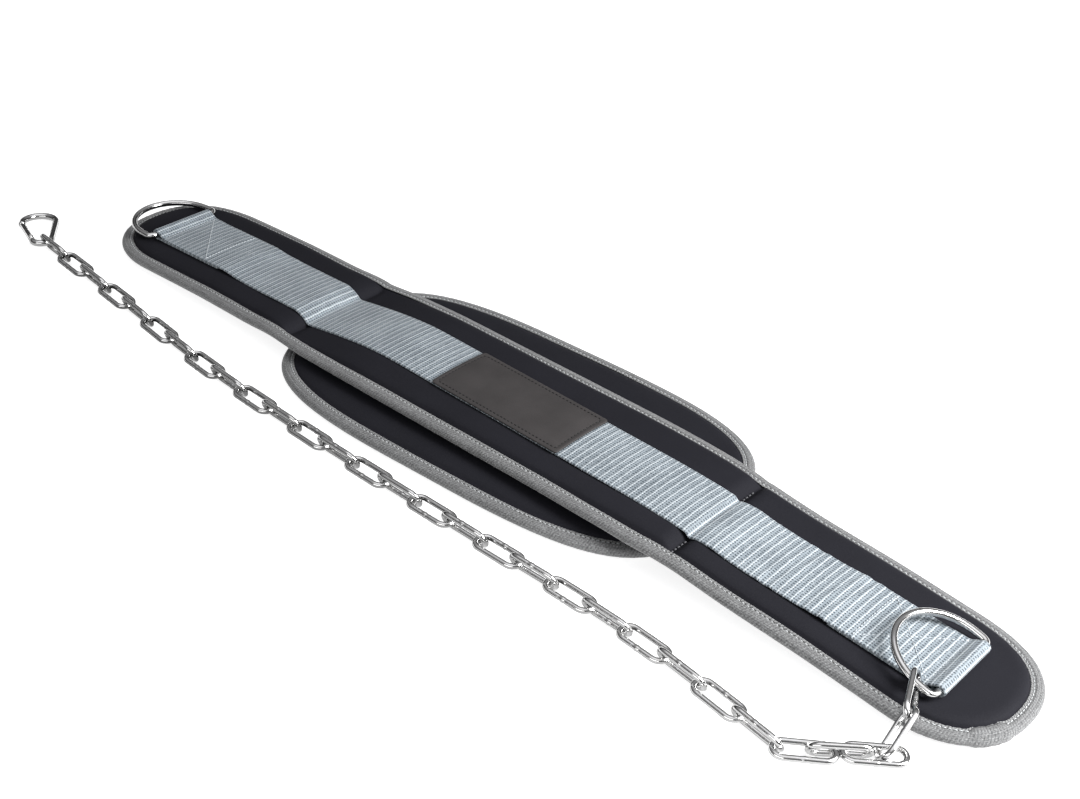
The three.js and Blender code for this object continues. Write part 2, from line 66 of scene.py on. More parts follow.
LINK = dict(wire=3.7, length=36.8, width=15.7)
LINK_COUNT = 30
HOOK = dict(wire=5, length=53, narrow=13.6, wide=25, gate_wire=4.4, pivot_along=5, shoulder=4,
            tongue=2.5, pin_half=2.9, pin_round=1.1, pin_radius=1.5)
CREASE = {-1: dict(thickness=2.4, run=30, inner_run=85, rim=4.6, dent=1.3),
          1: dict(thickness=6, run=12, inner_run=12, rim=5.6, dent=1.6)}
DENT_REACH = 3.2
BEYOND_BACK_PAD = 2.5

crease_at = BACK_PAD["length"] / 2 + BEYOND_BACK_PAD
wing_length = BELT["length"] / 2 - crease_at
deck = BACK_PAD["edge"] + BACK_PAD["crown"] + GAP
bar_at = BELT["length"] / 2 - STRAP["bar_inset"]
straight_end = BELT["length"] / 2 - BELT["end_round"]
loop_radius = RING["wire"] / 2 + GAP + STRAP["thickness"] / 2

# Height of the belt's underside, as shares of the deck, from crease to wing tip and from the
# middle of the belt to each crease
WING_FALL = {
    -1: ((0, 0.76), (0.05, 0.73), (0.16, 0.52), (0.4, 0.42), (0.63, 0.2), (0.8, 0.03), (1, 0)),
    1: ((0, 0.9), (0.08, 0.75), (0.2, 0.58), (0.4, 0.42), (0.63, 0.2), (0.8, 0.03), (1, 0)),
}
MIDDLE_FALL = {-1: ((0, 1), (0.55, 1), (1, 0.76)), 1: ((0, 1), (0.75, 1), (1, 0.9))}
MIDDLE_SWELL = ((0, 1), (0.6, 1), (0.85, 0.75), (1, 0))
# How far across the belt lies off the webbing's middle line, by its share of the half length
SWAY = ((-1, 3), (-0.55, 3), (-0.42, 1.5), (-0.25, 0.5), (0, 3), (0.2, 5), (0.7, 5),
        (0.85, 3.5), (1, 3))

# Dips and swells of the webbing where it lies slack: place along the belt, height, reach, and how
# far each slants over the half width. A dip also stands up a little at both its sides.
STRAP_WAVES = (
    (-205, 0.5, 13, -2), (-178, 0.9, 5, 0), (-243, 0.35, 14, 5), (183, 0.7, 6, 0),
    (223, -0.7, 3, 4), (258, -0.8, 3, 5), (240, 0.4, 9, 0),
)


class Profile:
    """A smooth curve through a few rows of (place, value)."""

    def __init__(self, rows, soften, step=0.5):
        places, values = (np.array(column, float) for column in zip(*rows))
        reach = 6 * soften
        self.at = np.arange(places[0] - reach, places[-1] + reach, step)
        raw = np.interp(self.at, places, values)
        window = np.exp(-0.5 * (np.arange(-3 * soften, 3 * soften + step, step) / soften) ** 2)
        half = len(window) // 2
        padded = np.pad(raw, half, mode="edge")
        self.value = np.convolve(padded, window / window.sum(), mode="same")[half:-half]

    def __call__(self, place):
        return np.interp(place, self.at, self.value)


def belt_fall_rows():
    rows = []
    for side in (-1, 1):
        rows += [(side * share * crease_at, lift * deck) for share, lift in MIDDLE_FALL[side]]
        rows += [(side * (crease_at + share * wing_length), lift * deck)
                 for share, lift in WING_FALL[side][1:]]
    return sorted(set(rows))


belt_underside = Profile(belt_fall_rows(), soften=7)
belt_sway = Profile([(share * BELT["length"] / 2, sway) for share, sway in SWAY], soften=9)


def from_crease(x, pinched, full):
    """A value that is pinched at a crease and full beyond its run on either side of it."""
    x = np.asarray(x, float)
    result = np.full(x.shape, float(full))
    for side, crease in CREASE.items():
        beyond = side * x - crease_at
        outer = np.sqrt(1 - (1 - np.clip(beyond / crease["run"], 0, 1)) ** 2)
        inner = np.sin(np.clip(-beyond / crease["inner_run"], 0, 1) * math.pi / 2)
        low = crease[pinched]
        swell = low + (full - low) * np.where(beyond > 0, outer, inner)
        result = np.where(np.sign(x) == side, swell, result)
    return result


def belt_thickness(x):
    return from_crease(x, "thickness", BELT["thickness"])


def crease_dent(x):
    """The narrow valley that the seam across each crease draws into the foam."""
    return sum(crease["dent"] * np.exp(-((side * x - crease_at) / DENT_REACH) ** 2)
               for side, crease in CREASE.items())


def belt_rim(x):
    return from_crease(x, "rim", BELT["edge"])


def belt_top(x):
    return belt_underside(x) + belt_thickness(x)


def belt_half_width_rows():
    swelling = BELT["middle_width"] - BELT["crease_width"]
    rows = []
    for side in (-1, 1):
        rows += [(side * share * crease_at, BELT["crease_width"] + swelling * part)
                 for share, part in MIDDLE_SWELL]
        rows += [(side * (crease_at + CREASE[side]["run"]), BELT["wing_width"]),
                 (side * BELT["length"] / 2, BELT["wing_width"])]
    return sorted({(place, width / 2) for place, width in rows})


belt_half_width = Profile(belt_half_width_rows(), soften=5)


# The pads: half widths along X, how far a point lies inside the rim, and heights
class BeltPad:
    half_length = BELT["length"] / 2
    stations = 400
    place = (0, 0, 0)
    overlapped = True
    sway = staticmethod(belt_sway)
    underside = staticmethod(belt_underside)
    rim = staticmethod(belt_rim)

    def rim_low(self, x):
        """The binding's underside, lifted a little where the foam bulges below it."""
        return belt_underside(x) + BELT["rim_lift"]

    def full(self, x, _y):
        return belt_thickness(x) - crease_dent(x)

    def places(self, count):
        """Places from tip to tip, close together in the rounded ends."""
        turn = np.linspace(0, math.pi / 2, 41)[1:]
        cap = list(straight_end + BELT["end_round"] * np.sin(turn))
        middle = np.linspace(-straight_end, straight_end, count)
        return np.array([-x for x in reversed(cap)] + list(middle) + cap)

    def half_width(self, x):
        out = np.clip((np.abs(x) - straight_end) / BELT["end_round"], 0, 1)
        power = BELT["end_power"]
        return belt_half_width(x) * (1 - out**power) ** (1 / power)

    def depth(self, x, y):
        power = BELT["end_power"]
        along = np.maximum(np.abs(x) - straight_end, 0) / BELT["end_round"]
        across = np.abs(y) / belt_half_width(x)
        return rim_depth(along, across, BELT["end_round"], belt_half_width(x), power)


class BackPad:
    half_length = BACK_PAD["length"] / 2
    stations = 150
    place = (BACK_PAD["along"], BACK_PAD["across"], BACK_PAD["turn"])  # x, y and an angle about Z
    overlapped = False

    def level(self, x):
        return np.zeros(np.shape(x))

    sway = underside = rim_low = level

    def rim(self, x):
        return self.level(x) + BACK_PAD["rim"]

    def full(self, x, y):
        power, inner = BACK_PAD["power"], TAPE["width"] + GAP
        out = ((np.abs(x) / (self.half_length - inner)) ** power
               + (np.abs(y) / (BACK_PAD["width"] / 2 - inner)) ** power) ** (1 / power)
        return BACK_PAD["edge"] + BACK_PAD["crown"] * np.maximum(0, 1 - out**3)

    def places(self, count):
        angle = np.linspace(math.pi, 0, count)
        return np.sign(np.cos(angle)) * np.abs(np.cos(angle)) ** (2 / 3) * self.half_length

    def half_width(self, x):
        power = BACK_PAD["power"]
        out = np.clip(np.abs(x) / self.half_length, 0, 1)
        return BACK_PAD["width"] / 2 * (1 - out**power) ** (1 / power)

    def depth(self, x, y):
        along, across = np.abs(x) / self.half_length, np.abs(y) / (BACK_PAD["width"] / 2)
        return rim_depth(along, across, self.half_length, BACK_PAD["width"] / 2, BACK_PAD["power"])


def rim_depth(along, across, long_half, wide_half, power):
    """Distance in from a rounded outline, from the two shares of its half sizes."""
    ratio = np.maximum((along**power + across**power) ** (1 / power), 1e-6)
    slope_x = (along / ratio) ** (power - 1) / long_half
    slope_y = (across / ratio) ** (power - 1) / wide_half
    return (1 - ratio) / np.maximum(np.hypot(slope_x, slope_y), 1e-9)


def smooth_step(value):
    value = np.clip(value, 0, 1)
    return value * value * (3 - 2 * value)


def ripple(x, y, size, seed):
    """A slow uneven swell between -1 and 1 or so, the same each run."""
    draw = random.Random(seed)
    total = 0
    for _ in range(5):
        angle = draw.uniform(0, math.pi)
        wave = size * draw.uniform(0.7, 1.6)
        along = x * math.cos(angle) + y * math.sin(angle)
        total = total + np.sin(along * 2 * math.pi / wave + draw.uniform(0, 6.3))
    return total / 3


# Meshes
def grid_corners(values):
    """The four corners of each cell of a grid."""
    return values[:-1, :-1], values[1:, :-1], values[1:, 1:], values[:-1, 1:]


def mesh_object(name, grid, material, uv=None, closed=False):
    """A tube from a grid of points, closed on itself or capped, with its corners' UVs."""
    rows, columns = grid.shape[:2]
    index = np.arange(rows * columns).reshape(rows, columns)
    if closed:
        index = np.vstack([index, index[:1]])
    index = np.hstack([index, index[:, :1]])
    faces = np.stack(grid_corners(index), -1).reshape(-1, 4).tolist()
    if not closed:
        faces += [index[0, :columns].tolist(), index[-1, :columns][::-1].tolist()]
    return finished(name, grid.reshape(-1, 3), faces, material, uv)


def finished(name, vertices, faces, material, uv=None):
    """A smooth object, its doubled points merged and its faces turned out."""
    mesh = bpy.data.meshes.new(name)
    mesh.from_pydata((vertices * MM).tolist(), [], faces)
    if uv is not None:
        layer = mesh.uv_layers.new(name="UVMap")
        flat = np.stack(grid_corners(uv), 2).reshape(-1, 2)
        values = np.zeros((len(mesh.loops), 2))
        values[: len(flat)] = flat * MM
        layer.data.foreach_set("uv", values.ravel())
    work = bmesh.new()
    work.from_mesh(mesh)
    bmesh.ops.remove_doubles(work, verts=work.verts, dist=1e-6)
    bmesh.ops.recalc_face_normals(work, faces=work.faces)
    work.to_mesh(mesh)
    work.free()
    mesh.polygons.foreach_set("use_smooth", [True] * len(mesh.polygons))
    mesh.materials.append(material)
    piece = bpy.data.objects.new(name, mesh)
    bpy.context.scene.collection.objects.link(piece)
    return piece


def uv_grid(along, across):
    return np.stack(np.broadcast_arrays(along[:, None], across[None, :]), -1)


def upward(count, z=1.0):
    return np.tile([0, 0, z], (count, 1))


def offset(points, directions, distance):
    """Points moved by one distance or by a distance each."""
    return points + directions * np.broadcast_to(distance, (len(points),))[:, None]


def along_path(points, closed):
    """Unit directions along a path."""
    if closed:
        step = np.roll(points, -1, 0) - np.roll(points, 1, 0)
    else:
        step = np.gradient(points, axis=0)
    return step / np.linalg.norm(step, axis=1, keepdims=True)


def wire_grid(points, radius, sides, closed, flat_normal=(0, 0, 1)):
    """A round wire along a path that lies in one plane. The radius may change along it."""
    direction = along_path(points, closed)
    up = np.array(flat_normal, float)
    side = np.cross(direction, up)
    radius = np.broadcast_to(np.asarray(radius, float), (len(points),))[:, None, None]
    angle = np.linspace(0, 2 * math.pi, sides, endpoint=False)
    ring = side[:, None, :] * np.cos(angle)[None, :, None] + up * np.sin(angle)[None, :, None]
    return points[:, None, :] + ring * radius


def arc(cx, cy, rx, ry, start, end, steps):
    angle = np.radians(np.linspace(start, end, steps + 1))
    return np.stack([cx + rx * np.cos(angle), cy + ry * np.sin(angle), np.zeros(steps + 1)], 1)


def resample(points, step, closed=False):
    """Evenly spaced points along a path, and their distance along it."""
    loop = np.vstack([points, points[:1]]) if closed else points
    piece = np.linalg.norm(np.diff(loop, axis=0), axis=1)
    walked = np.concatenate([[0], np.cumsum(piece)])
    count = max(8, int(round(walked[-1] / step)))
    at = np.linspace(0, walked[-1], count + (0 if closed else 1), endpoint=not closed)
    return np.stack([np.interp(at, walked, loop[:, k]) for k in range(3)], 1), at


def in_place(points, pad):
    """Points shifted across by the pad's sway, turned about Z and set at its place."""
    x, y, turn = pad.place
    swayed = points.copy()
    swayed[..., 1] += pad.sway(swayed[..., 0])
    return swayed @ np.array(Matrix.Rotation(math.radians(turn), 3, "Z")).T + (x, y, 0)


# A stitch from end to end: place as a share of its length, thickness and lift as shares of its width
STITCH = ((-0.5, 0.25, -0.3), (-0.38, 0.8, 0.09), (0, 1, 0.3), (0.38, 0.8, 0.09), (0.5, 0.25, -0.3))


def stitches(name, rows, size, material):
    """Short raised threads as one mesh, from rows of places, directions and normals."""
    length, width = size["length"], size["width"]
    places, directions, normals = (np.vstack(part) for part in zip(*rows))
    sides = 6
    ring = [(math.cos(a), math.sin(a)) for a in np.linspace(0, 2 * math.pi, sides, endpoint=False)]
    side = np.cross(normals, directions)
    vertices, faces = [], []
    for place, along, across, up in zip(places, directions, side, normals):
        start = len(vertices)
        for share, thick, lift in STITCH:
            centre = place + along * share * length + up * lift * width
            for c, s in ring:
                vertices.append(centre + (across * c + up * s) * thick * width / 2)
        last = start + (len(STITCH) - 1) * sides
        for row in range(start, last, sides):
            for k in range(sides):
                a, b = row + k, row + (k + 1) % sides
                faces.append((a, b, b + sides, a + sides))
        faces.append(tuple(start + k for k in range(sides))[::-1])
        faces.append(tuple(last + k for k in range(sides)))
    return finished(name, np.array(vertices), faces, material)


# Materials
CLOUDS = (0.3, 0.7)  # the range of slow noise that turns one tone into another


class Nodes:
    """A short way to build a material's nodes."""

    def __init__(self, name):
        self.material = bpy.data.materials.new(name)
        self.material.use_nodes = True
        self.tree = self.material.node_tree
        self.shader = self.tree.nodes["Principled BSDF"]

    def set(self, **values):
        for key, value in values.items():
            self.shader.inputs[key.replace("_", " ")].default_value = value

    def add(self, kind, links=(), **values):
        node = self.tree.nodes.new("ShaderNode" + kind)
        for key, value in values.items():
            setattr(node, key, value)
        for socket, source in links:
            if isinstance(source, (int, float, tuple)):
                node.inputs[socket].default_value = source
            else:
                self.tree.links.new(source, node.inputs[socket])
        return node

    def math(self, operation, a, b=0.0, c=0.5):
        return self.add("Math", ((0, a), (1, b), (2, c)), operation=operation).outputs[0]

    def times(self, a, b):
        return self.math("MULTIPLY", a, b)

    def plus(self, a, b):
        return self.math("ADD", a, b)

    def noise(self, vector, scale, detail=2.0, roughness=0.5):
        links = (("Vector", vector), ("Scale", scale), ("Detail", detail), ("Roughness", roughness))
        return self.add("TexNoise", links).outputs["Fac"]

    def ramp(self, value, low, high):
        """The value stretched so that low gives 0 and high gives 1."""
        links = (("Value", value), ("From Min", low), ("From Max", high))
        return self.add("MapRange", links, clamp=True).outputs[0]

    def mix(self, factor, a, b):
        return self.add("Mix", ((0, factor), (6, a), (7, b)), data_type="RGBA").outputs[2]

    def place(self):
        return self.add("TexCoord").outputs["Object"]

    def uv(self):
        place = self.add("TexCoord").outputs["UV"]
        return self.part(place, "X"), self.part(place, "Y")

    def wave(self, value, pitch, shift=0.0):
        """A sine of the given pitch in millimetres, from 0 to 1."""
        turn = self.math("MULTIPLY_ADD", value, 2 * math.pi / (pitch * MM), shift)
        return self.math("MULTIPLY_ADD", self.math("SINE", turn), 0.5, 0.5)

    def bump(self, height, strength, distance):
        links = (("Height", height), ("Strength", strength), ("Distance", distance * MM))
        bump = self.add("Bump", links)
        self.tree.links.new(bump.outputs[0], self.shader.inputs["Normal"])

    def link(self, source, socket):
        self.tree.links.new(source, self.shader.inputs[socket])

    def colour(self, source):
        self.link(source, "Base Color")

    def part(self, vector, axis):
        return self.add("SeparateXYZ", (("Vector", vector),)).outputs[axis]


def grey(value, tint=(1, 1, 1)):
    return (value * tint[0], value * tint[1], value * tint[2], 1)


def neoprene_material():
    """Smooth black cloth laminated on foam."""
    n = Nodes("neoprene")
    deep, worn = (0.0065, 0.0065, 0.0095, 1), (0.0095, 0.0095, 0.0135, 1)
    fleck = (0.014, 0.014, 0.018, 1)
    spot = n.place()
    cloudy = n.ramp(n.noise(spot, 22, 3), *CLOUDS)
    fine = n.noise(spot, 1900, 2)
    n.colour(n.mix(n.ramp(fine, 0.35, 0.8), n.mix(cloudy, deep, worn), fleck))
    n.set(Roughness=0.8, Specular_IOR_Level=0.16)
    n.bump(fine, 0.25, 0.12)
    return n.material


def tape_material():
    """Grey knitted edge tape: slanting ticks, dark streaks along it and painted shade in the groove at
    its stitching.
    """
    n = Nodes("binding_tape")
    along, across = n.uv()
    spot = n.place()
    cool, cooler = (1, 1.01, 1.02), (1, 1.02, 1.04)
    tick = n.ramp(n.wave(n.plus(along, n.times(across, 0.5)), 2.1), 0.3, 0.75)
    inner = n.ramp(across, 2.5 * MM, 2.1 * MM)
    # Painted shade: the groove where the stitching sits is darkened almost to black
    groove = n.times(n.ramp(across, 2.0 * MM, 2.5 * MM), n.ramp(across, 3.5 * MM, 3.0 * MM))
    ladder = n.times(tick, n.plus(n.times(inner, 0.6), 0.4))
    streak = n.ramp(n.wave(across, 1.25), 0.3, 0.9)
    speckle = n.noise(spot, 1150, 3, 0.7)
    cloudy = n.ramp(n.noise(spot, 60, 3), *CLOUDS)
    base = n.mix(cloudy, grey(0.095, cooler), grey(0.13, cooler))
    light = n.mix(n.ramp(speckle, 0.5, 0.7), base, grey(0.30, cool))
    dark = n.mix(n.ramp(speckle, 0.46, 0.32), light, grey(0.035))
    ticked = n.mix(n.times(ladder, 0.55), dark, grey(0.36))
    lined = n.mix(n.times(streak, 0.3), ticked, grey(0.06))
    # The painted shade of the stitching groove goes on last
    n.colour(n.mix(n.times(groove, 0.75), lined, grey(0.022)))
    knit = n.plus(ladder, n.times(streak, -0.5))
    n.set(Roughness=0.85, Sheen_Weight=0.3, Sheen_Roughness=0.4)
    n.bump(n.plus(knit, n.times(speckle, 1.4)), 0.55, 0.3)
    return n.material


def webbing_material():
    """Ribbed polyester webbing: light cross ribs with rows of fine weave between them."""
    n = Nodes("webbing")
    deep, pale, gap = (0.17, 0.20, 0.225, 1), (0.25, 0.29, 0.32, 1), (0.03, 0.042, 0.055, 1)
    bright, fuzz = (0.62, 0.67, 0.70, 1), (0.60, 0.64, 0.67, 1)
    along, across = n.uv()
    spot = n.place()
    pitch = STRAP["rib_pitch"]
    strand = n.plus(along, n.times(n.noise(spot, 260, 2), 1.1 * MM))
    rib = n.ramp(n.wave(strand, pitch), 0.84, 0.99)
    rows = n.ramp(n.wave(strand, pitch / 2, math.pi), 0.1, 0.5)
    warp = n.ramp(n.wave(across, 2.0), 0.4, 0.75)
    dots = n.times(rows, warp)
    fibre = n.noise(spot, 900, 3, 0.65)
    cloudy = n.ramp(n.noise(spot, 45, 3), *CLOUDS)
    broken = n.times(rib, n.math("SUBTRACT", 1.0, n.times(warp, 0.45)))
    ribbed = n.mix(n.times(broken, 0.85), n.mix(dots, n.mix(cloudy, deep, pale), gap), bright)
    n.colour(n.mix(n.times(n.ramp(fibre, 0.5, 0.72), 0.4), ribbed, fuzz))
    n.set(Roughness=0.6, Sheen_Weight=0.2, Sheen_Roughness=0.4)
    relief = n.math("SUBTRACT", n.times(rib, 0.7), n.times(dots, 0.8))
    n.bump(n.plus(relief, n.times(fibre, 0.5)), 0.6, 0.25)
    return n.material


def leatherette_material():
    """Matt dark leatherette with a fine pebble."""
    n = Nodes("leatherette")
    deep, worn = (0.039, 0.036, 0.036, 1), (0.050, 0.046, 0.046, 1)
    spot = n.place()
    cells = n.add("TexVoronoi", (("Vector", spot), ("Scale", 1300.0)), feature="SMOOTH_F1")
    cloudy = n.ramp(n.noise(spot, 40, 3), *CLOUDS)
    n.colour(n.mix(cloudy, deep, worn))
    n.set(Roughness=0.62, Specular_IOR_Level=0.2)
    n.bump(cells.outputs["Distance"], 0.35, 0.15)
    return n.material


def steel_material(name, tone, shade, low, high):
    """Bright plated steel with painted shade on the sides of the wire, darkest at the belt's left end.
    """
    n = Nodes(name)
    spot = n.place()
    wear = n.noise(spot, 180, 4, 0.6)
    upward = n.part(n.add("NewGeometry").outputs["Normal"], "Z")
    along = n.part(spot, "X")
    bright = n.mix(n.ramp(wear, 0.35, 0.75), grey(tone), grey(tone * 0.86, (1, 0.99, 0.97)))
    # Painted shade: the tone for the sides of the wire, darkest toward the belt's left end
    painted_side_shade = n.mix(n.ramp(along, -0.2, 0.3), grey(tone * shade), grey(tone * (0.35 + shade / 2)))
    # Where the wire's normal leans away from straight up, the painted shade takes over
    n.colour(n.mix(n.ramp(upward, 0.6, 0.3), bright, painted_side_shade))
    n.set(Metallic=1.0)
    links = (("Value", wear), ("To Min", low), ("To Max", high))
    n.link(n.add("MapRange", links, clamp=True).outputs[0], "Roughness")
    n.bump(n.noise(spot, 700, 2), 0.06, 0.1)
    return n.material


def thread_material(name, colour):
    n = Nodes(name)
    fibre = n.noise(n.place(), 2600, 2)
    darker = tuple(c * 0.6 for c in colour[:3]) + (1,)
    n.colour(n.mix(n.ramp(fibre, 0.3, 0.7), darker, colour))
    n.set(Roughness=0.7)
    return n.material


neoprene = neoprene_material()
tape = tape_material()
webbing = webbing_material()
leatherette = leatherette_material()
bright_steel = steel_material("bright_steel", tone=0.92, shade=0.32, low=0.10, high=0.22)
link_steel = steel_material("link_steel", tone=0.94, shade=0.09, low=0.10, high=0.22)
light_thread = thread_material("light_thread", (0.62, 0.64, 0.65, 1))
strap_thread = thread_material("strap_thread", (0.66, 0.70, 0.73, 1))
dark_thread = thread_material("dark_thread", (0.006, 0.006, 0.007, 1))
# Black crease thread lightened to dark grey as painted sheen
crease_thread = thread_material("crease_thread", (0.11, 0.11, 0.12, 1))


# Foam pads
def foam_pad(name, pad):
    """The foam core in its cover: thin inside the binding, full beyond it."""
    places = pad.places(pad.stations)
    inset, wall = FOAM["inset"], TAPE["thickness"] + FOAM["wall_gap"]
    x = places * (1 - inset / pad.half_length)
    half = np.maximum(pad.half_width(places) - inset, 0.01)
    even = np.linspace(-1, 1, FOAM["lanes"])
    bunching = FOAM["bunching"]
    lanes = (1 - bunching) * even + bunching * np.sin(even * math.pi / 2)
    gx = np.repeat(x[:, None], len(lanes), 1)
    gy = half[:, None] * lanes[None, :]
    depth = np.maximum(pad.depth(gx, gy), inset)
    bare = depth - TAPE["width"]
    base, low, thick = pad.underside(gx), pad.rim_low(gx), pad.rim(gx)
    lip = thick / 2 + (thick / 2 - wall) * np.sqrt(np.clip((depth - inset) / FOAM["lip_run"], 0, 1))
    free = smooth_step((bare + FOAM["cover_start"]) / FOAM["cover_run"])
    rise = np.sqrt(1 - (1 - np.clip(bare / BELT["puff"], 0, 1)) ** 2)
    uneven = ripple(gx, gy, FOAM["swell_size"], FOAM["swell_seed"]) * FOAM["swell"]
    swell = (pad.full(gx, gy) + base - low - thick + uneven) * rise
    top = low + lip + free * (wall - FOAM["top_gap"] + swell)
    bottom = low + thick - lip - free * (wall - FOAM["bottom_gap"] - (base - low) * rise)
    upper = np.stack([gx, gy, top], -1)
    lower = np.stack([gx, gy, bottom], -1)[:, ::-1]
    grid = in_place(np.concatenate([upper, lower], 1), pad)
    return mesh_object(name, grid, neoprene)


def outline_loop(pad, step=2.2):
    """Even stations round an outline, their outward normals and distance along it."""
    x = pad.places(700)
    half = pad.half_width(x)
    near = np.stack([x, -half, np.zeros(len(x))], 1)
    far = np.stack([x, half, np.zeros(len(x))], 1)[::-1]
    loop, walked = resample(np.vstack([near, far]), step, closed=True)
    ahead = along_path(loop, True)
    kernel = np.array([1, 2, 3, 2, 1]) / 9
    smooth = sum(np.roll(ahead, k - 2, 0) * kernel[k] for k in range(5))
    smooth /= np.linalg.norm(smooth, axis=1, keepdims=True)
    outward = np.stack([smooth[:, 1], -smooth[:, 0], np.zeros(len(loop))], 1)
    return loop, outward, walked


# Section of the binding, as (inset, height) from its inner edge over the top to its nose. The
# height is above the middle of the rim, in half thicknesses of the rim.
TAPE_SECTION = (
    (8.4, 0.80), (8.5, 0.98), (8.1, 1.06), (7.4, 1.05), (6.9, 0.93), (6.5, 0.86), (6.1, 0.93),
    (5.5, 1.07), (4.8, 1.12), (4.1, 1.08), (3.5, 1.0), (3.1, 0.94), (2.7, 0.97), (2.0, 0.92),
    (1.3, 0.78), (0.7, 0.58), (0.25, 0.33), (0.05, 0.12),
)
TAPE_FOLD = TAPE_SECTION + tuple((inset, -lift) for inset, lift in TAPE_SECTION[::-1])
TAPE_LINING = ((7.6, -0.76), (3.6, -0.72), (1.3, 0.0), (3.6, 0.72), (7.6, 0.76))
TAPE_NOSE = 5  # the inset up to which the section counts as the tape's nose
LINING_GAP = 0.2
# Puckers where the tape goes round a bend
GATHER = dict(per_bend=60, height=0.22, pitch=6.3, drift=3, drift_run=17, share_off_crest=0.4)
# The tape's ends overlap at the belt's right tip: half length, runs of its ends, and how far it
# stands out and up at the nose and at the inner edge
OVERLAP = dict(place=(370, -26), half=14, start=2, end=6, lift=0.9, nose_out=0.6, inner_out=-2.2,
               nose_up=0.7, inner_up=1.3, crumple=0.4, crumple_run=12, crumple_turn=0.9)


def overlap_swell(loop, walked):
    """How far the overlap and its crumples stand up at each station of the outline."""
    x, y = OVERLAP["place"]
    away = walked - walked[np.argmin(np.hypot(loop[:, 0] - x, loop[:, 1] - y))]
    begins = smooth_step((away + OVERLAP["half"]) / OVERLAP["start"])
    ends = smooth_step((OVERLAP["half"] - away) / OVERLAP["end"])
    crumple = np.exp(-((away / OVERLAP["crumple_run"]) ** 2)) * np.sin(away * OVERLAP["crumple_turn"])
    return OVERLAP["lift"] * begins * ends, crumple


def bound_edge(name, pad):
    """Tape folded over a pad's rim and sewn down near its inner edge."""
    loop, outward, walked = outline_loop(pad)
    half = pad.rim(loop[:, 0]) / 2
    middle = pad.rim_low(loop[:, 0]) + half
    bend = np.abs(np.gradient(np.unwrap(np.arctan2(outward[:, 1], outward[:, 0])), walked))
    drift = GATHER["drift"] * np.sin(walked / GATHER["drift_run"])
    pucker = GATHER["height"] * np.sin(walked * 2 * math.pi / GATHER["pitch"] + drift)
    slow = ripple(walked, walked * 0, TAPE["swell_size"], TAPE["swell_seed"]) * TAPE["swell"]
    swell = slow + np.clip(bend * GATHER["per_bend"], 0, 1) * pucker
    seam, crumple = overlap_swell(loop, walked) if pad.overlapped else (0, 0)
    columns = []
    for inset, lift in TAPE_FOLD:
        nose = inset < TAPE_NOSE
        crest = abs(lift) > 0.9 and inset > TAPE_NOSE
        raised = swell * (1 if crest else GATHER["share_off_crest"]) + crumple * OVERLAP["crumple"]
        raised = raised + seam * OVERLAP["nose_up" if nose else "inner_up"]
        out = seam * OVERLAP["nose_out" if nose else "inner_out"] - inset
        columns.append((out, middle + lift * half + np.sign(lift) * raised))
    columns += [(-inset, middle + lift * (half - LINING_GAP)) for inset, lift in TAPE_LINING]
    points = []
    for out, height in columns:
        point = offset(loop, outward, out)
        point[:, 2] = height
        points.append(point)
    piece = mesh_object(name, in_place(np.stack(points, 1), pad), tape, tape_uv(walked), closed=True)
    return piece, tape_stitches(name + "_stitches", loop, outward, walked, pad)


def tape_uv(walked):
    """UVs that run along the tape and across it, from its inner edge over its section and back."""
    section = np.array(TAPE_FOLD + TAPE_LINING) * (1, BELT["edge"] / 2)
    across = np.concatenate([[0], np.cumsum(np.hypot(*np.diff(section, axis=0).T))])
    along = np.append(walked, walked[-1] + walked[1])
    return uv_grid(along, np.append(across, across[-1] + 1))


def tape_stitches(name, loop, outward, walked, pad):
    """A row of stitches on the tape's top and one on its underside."""
    rows = []
    for face in (1, -1):
        spots, at = resample(loop, TAPE_STITCH["pitch"], closed=True)
        normal = np.stack([np.interp(at, walked, outward[:, k]) for k in range(3)], 1)
        line = spots - normal * TAPE_STITCH["inset"]
        half = pad.rim(spots[:, 0]) / 2
        line[:, 2] = pad.rim_low(spots[:, 0]) + half + face * half * TAPE_STITCH["level"]
        line = in_place(line, pad)
        rows.append((line, along_path(line, True), upward(len(line), face)))
    return stitches(name, rows, TAPE_STITCH, light_thread)


def add_pads():
    back_pad, belt_pad = BackPad(), BeltPad()
    back = foam_pad("back_pad_foam", back_pad)
    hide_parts("back_pad")
    belt = foam_pad("belt_foam", belt_pad)
    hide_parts("belt_pad")
    back_tape, back_sewn = bound_edge("back_pad_binding", back_pad)
    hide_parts("back_binding")
    belt_tape, belt_sewn = bound_edge("belt_edge_binding", belt_pad)
    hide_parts("belt_binding")
    dressed = ((back, "neoprene"), (belt, "neoprene"), (back_tape, "binding"),
               (belt_tape, "binding"), (back_sewn, "binding"), (belt_sewn, "binding"))
    for piece, slot in dressed:
        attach(piece, "belt")


CREASE_STITCH = dict(count=5, pitch=3.1, from_webbing=2.6, above=0.2, slant=0.1, length=1.9, width=1.1)


def add_crease_stitches():
    """Dark thread, black lightened to dark grey with painted sheen, that crosses the right crease in a
    short row each side of the webbing.
    """
    row = CREASE_STITCH
    first = STRAP["width"] / 2 + row["from_webbing"]
    height = float(belt_top(crease_at)) + row["above"]
    places = [(crease_at, side * (first + k * row["pitch"]), height)
              for side in (-1, 1) for k in range(row["count"])]
    ahead = np.tile([row["slant"], 1.0, 0], (len(places), 1))
    sewn = stitches("crease_stitches", [(places, ahead, upward(len(places)))], row, crease_thread)
    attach(sewn, "belt")


# Webbing
fold_start = bar_at - STRAP["fold_back"]
landing = bar_at - STRAP["step_run"]
BRIDGE = dict(start=146, fall=0.06, drop_at=165.5)  # the webbing spans the right crease, then drops


